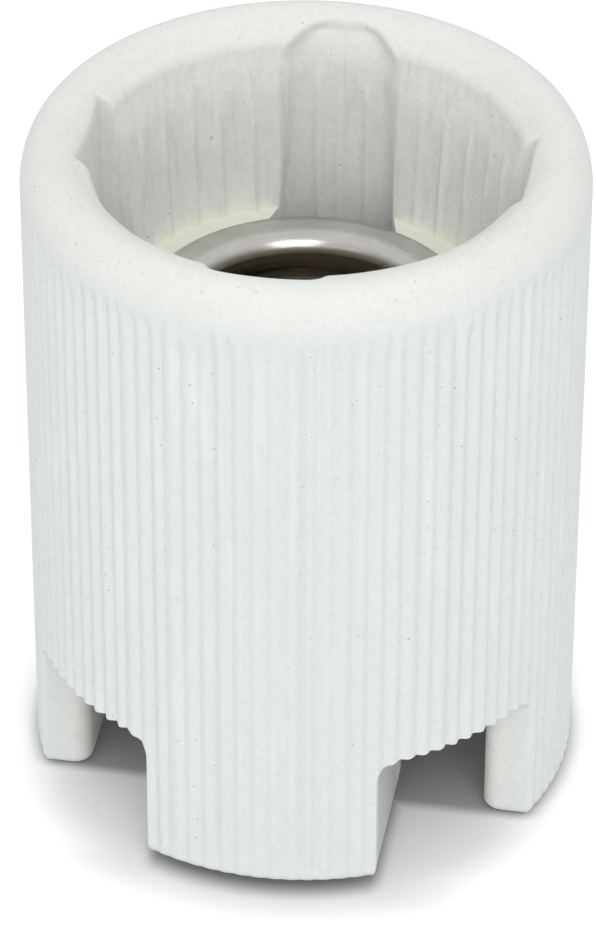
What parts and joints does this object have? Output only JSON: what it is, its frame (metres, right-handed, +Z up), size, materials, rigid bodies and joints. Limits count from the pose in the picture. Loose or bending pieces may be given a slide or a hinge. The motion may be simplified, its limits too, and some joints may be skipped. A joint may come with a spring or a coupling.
{
  "type": "porcelain lamp holder",
  "caption": "Round ribbed porcelain holder for a small screw-cap lamp: threaded metal shell in a deep cup, sprung centre contact, wire windows between the feet and screw terminals beneath.",
  "frame": {"origin": "on the lamp's axis, in the plane that the two side feet stand on", "axes": "+Z up along the lamp's axis to the rim, -Y to the front end of the middle block, +X to the side with the shell terminal"},
  "size_m": [0.028, 0.028, 0.0364],
  "materials": {
    "porcelain": "white porcelain, thin satin glaze with fine pits and a few dark specks",
    "nickel_sheet": "rolled sheet, nickel plated, satin with a bright rolled edge",
    "brass": "blanked brass, plain",
    "spring_bronze": "cold rolled spring bronze",
    "zinc_steel": "zinc plated steel"
  },
  "bodies": {
    "holder": {"porcelain_body": "porcelain", "screw_shell": "nickel_sheet", "shell_fixing_screw": "brass", "shell_lock_washer": "zinc_steel", "shell_terminal_plate": "brass", "contact_leaf": "spring_bronze", "contact_fixing_screw": "brass", "contact_terminal_plate": "brass"},
    "centre_contact": {"contact_button": "brass"},
    "shell_clamp": {"shell_clamp_washer": "zinc_steel"},
    "shell_screw": {"shell_terminal_screw": "zinc_steel"},
    "contact_clamp": {"contact_clamp_washer": "zinc_steel"},
    "contact_screw": {"contact_terminal_screw": "zinc_steel"}
  },
  "joints": [
    {"name": "contact_press", "type": "slide", "parent": "holder", "child": "centre_contact", "axis": [0, 0, -1], "range_m": [0, 0.0015], "stiffness_N_per_m": 3300, "springref_m": -0.0005, "deforming": ["contact_leaf"]},
    {"name": "shell_clamp_slide", "type": "slide", "parent": "holder", "child": "shell_clamp", "axis": [0, 0, -1], "range_m": [0, 0.002]},
    {"name": "shell_screw_turn", "type": "hinge", "parent": "shell_clamp", "child": "shell_screw", "pos_m": [0.0071, 0, 0.0055], "axis": [0, 0, -1], "range_deg": [0, 1440]},
    {"name": "contact_clamp_slide", "type": "slide", "parent": "holder", "child": "contact_clamp", "axis": [0, 0, -1], "range_m": [0, 0.002]},
    {"name": "contact_screw_turn", "type": "hinge", "parent": "contact_clamp", "child": "contact_screw", "pos_m": [-0.0071, 0, 0.0055], "axis": [0, 0, -1], "range_deg": [0, 1440]}
  ],
  "couplings": [
    {"joint": "shell_screw_turn", "follows": "shell_clamp_slide", "rad_per_m": 12566},
    {"joint": "contact_screw_turn", "follows": "contact_clamp_slide", "rad_per_m": 12566}
  ]
}
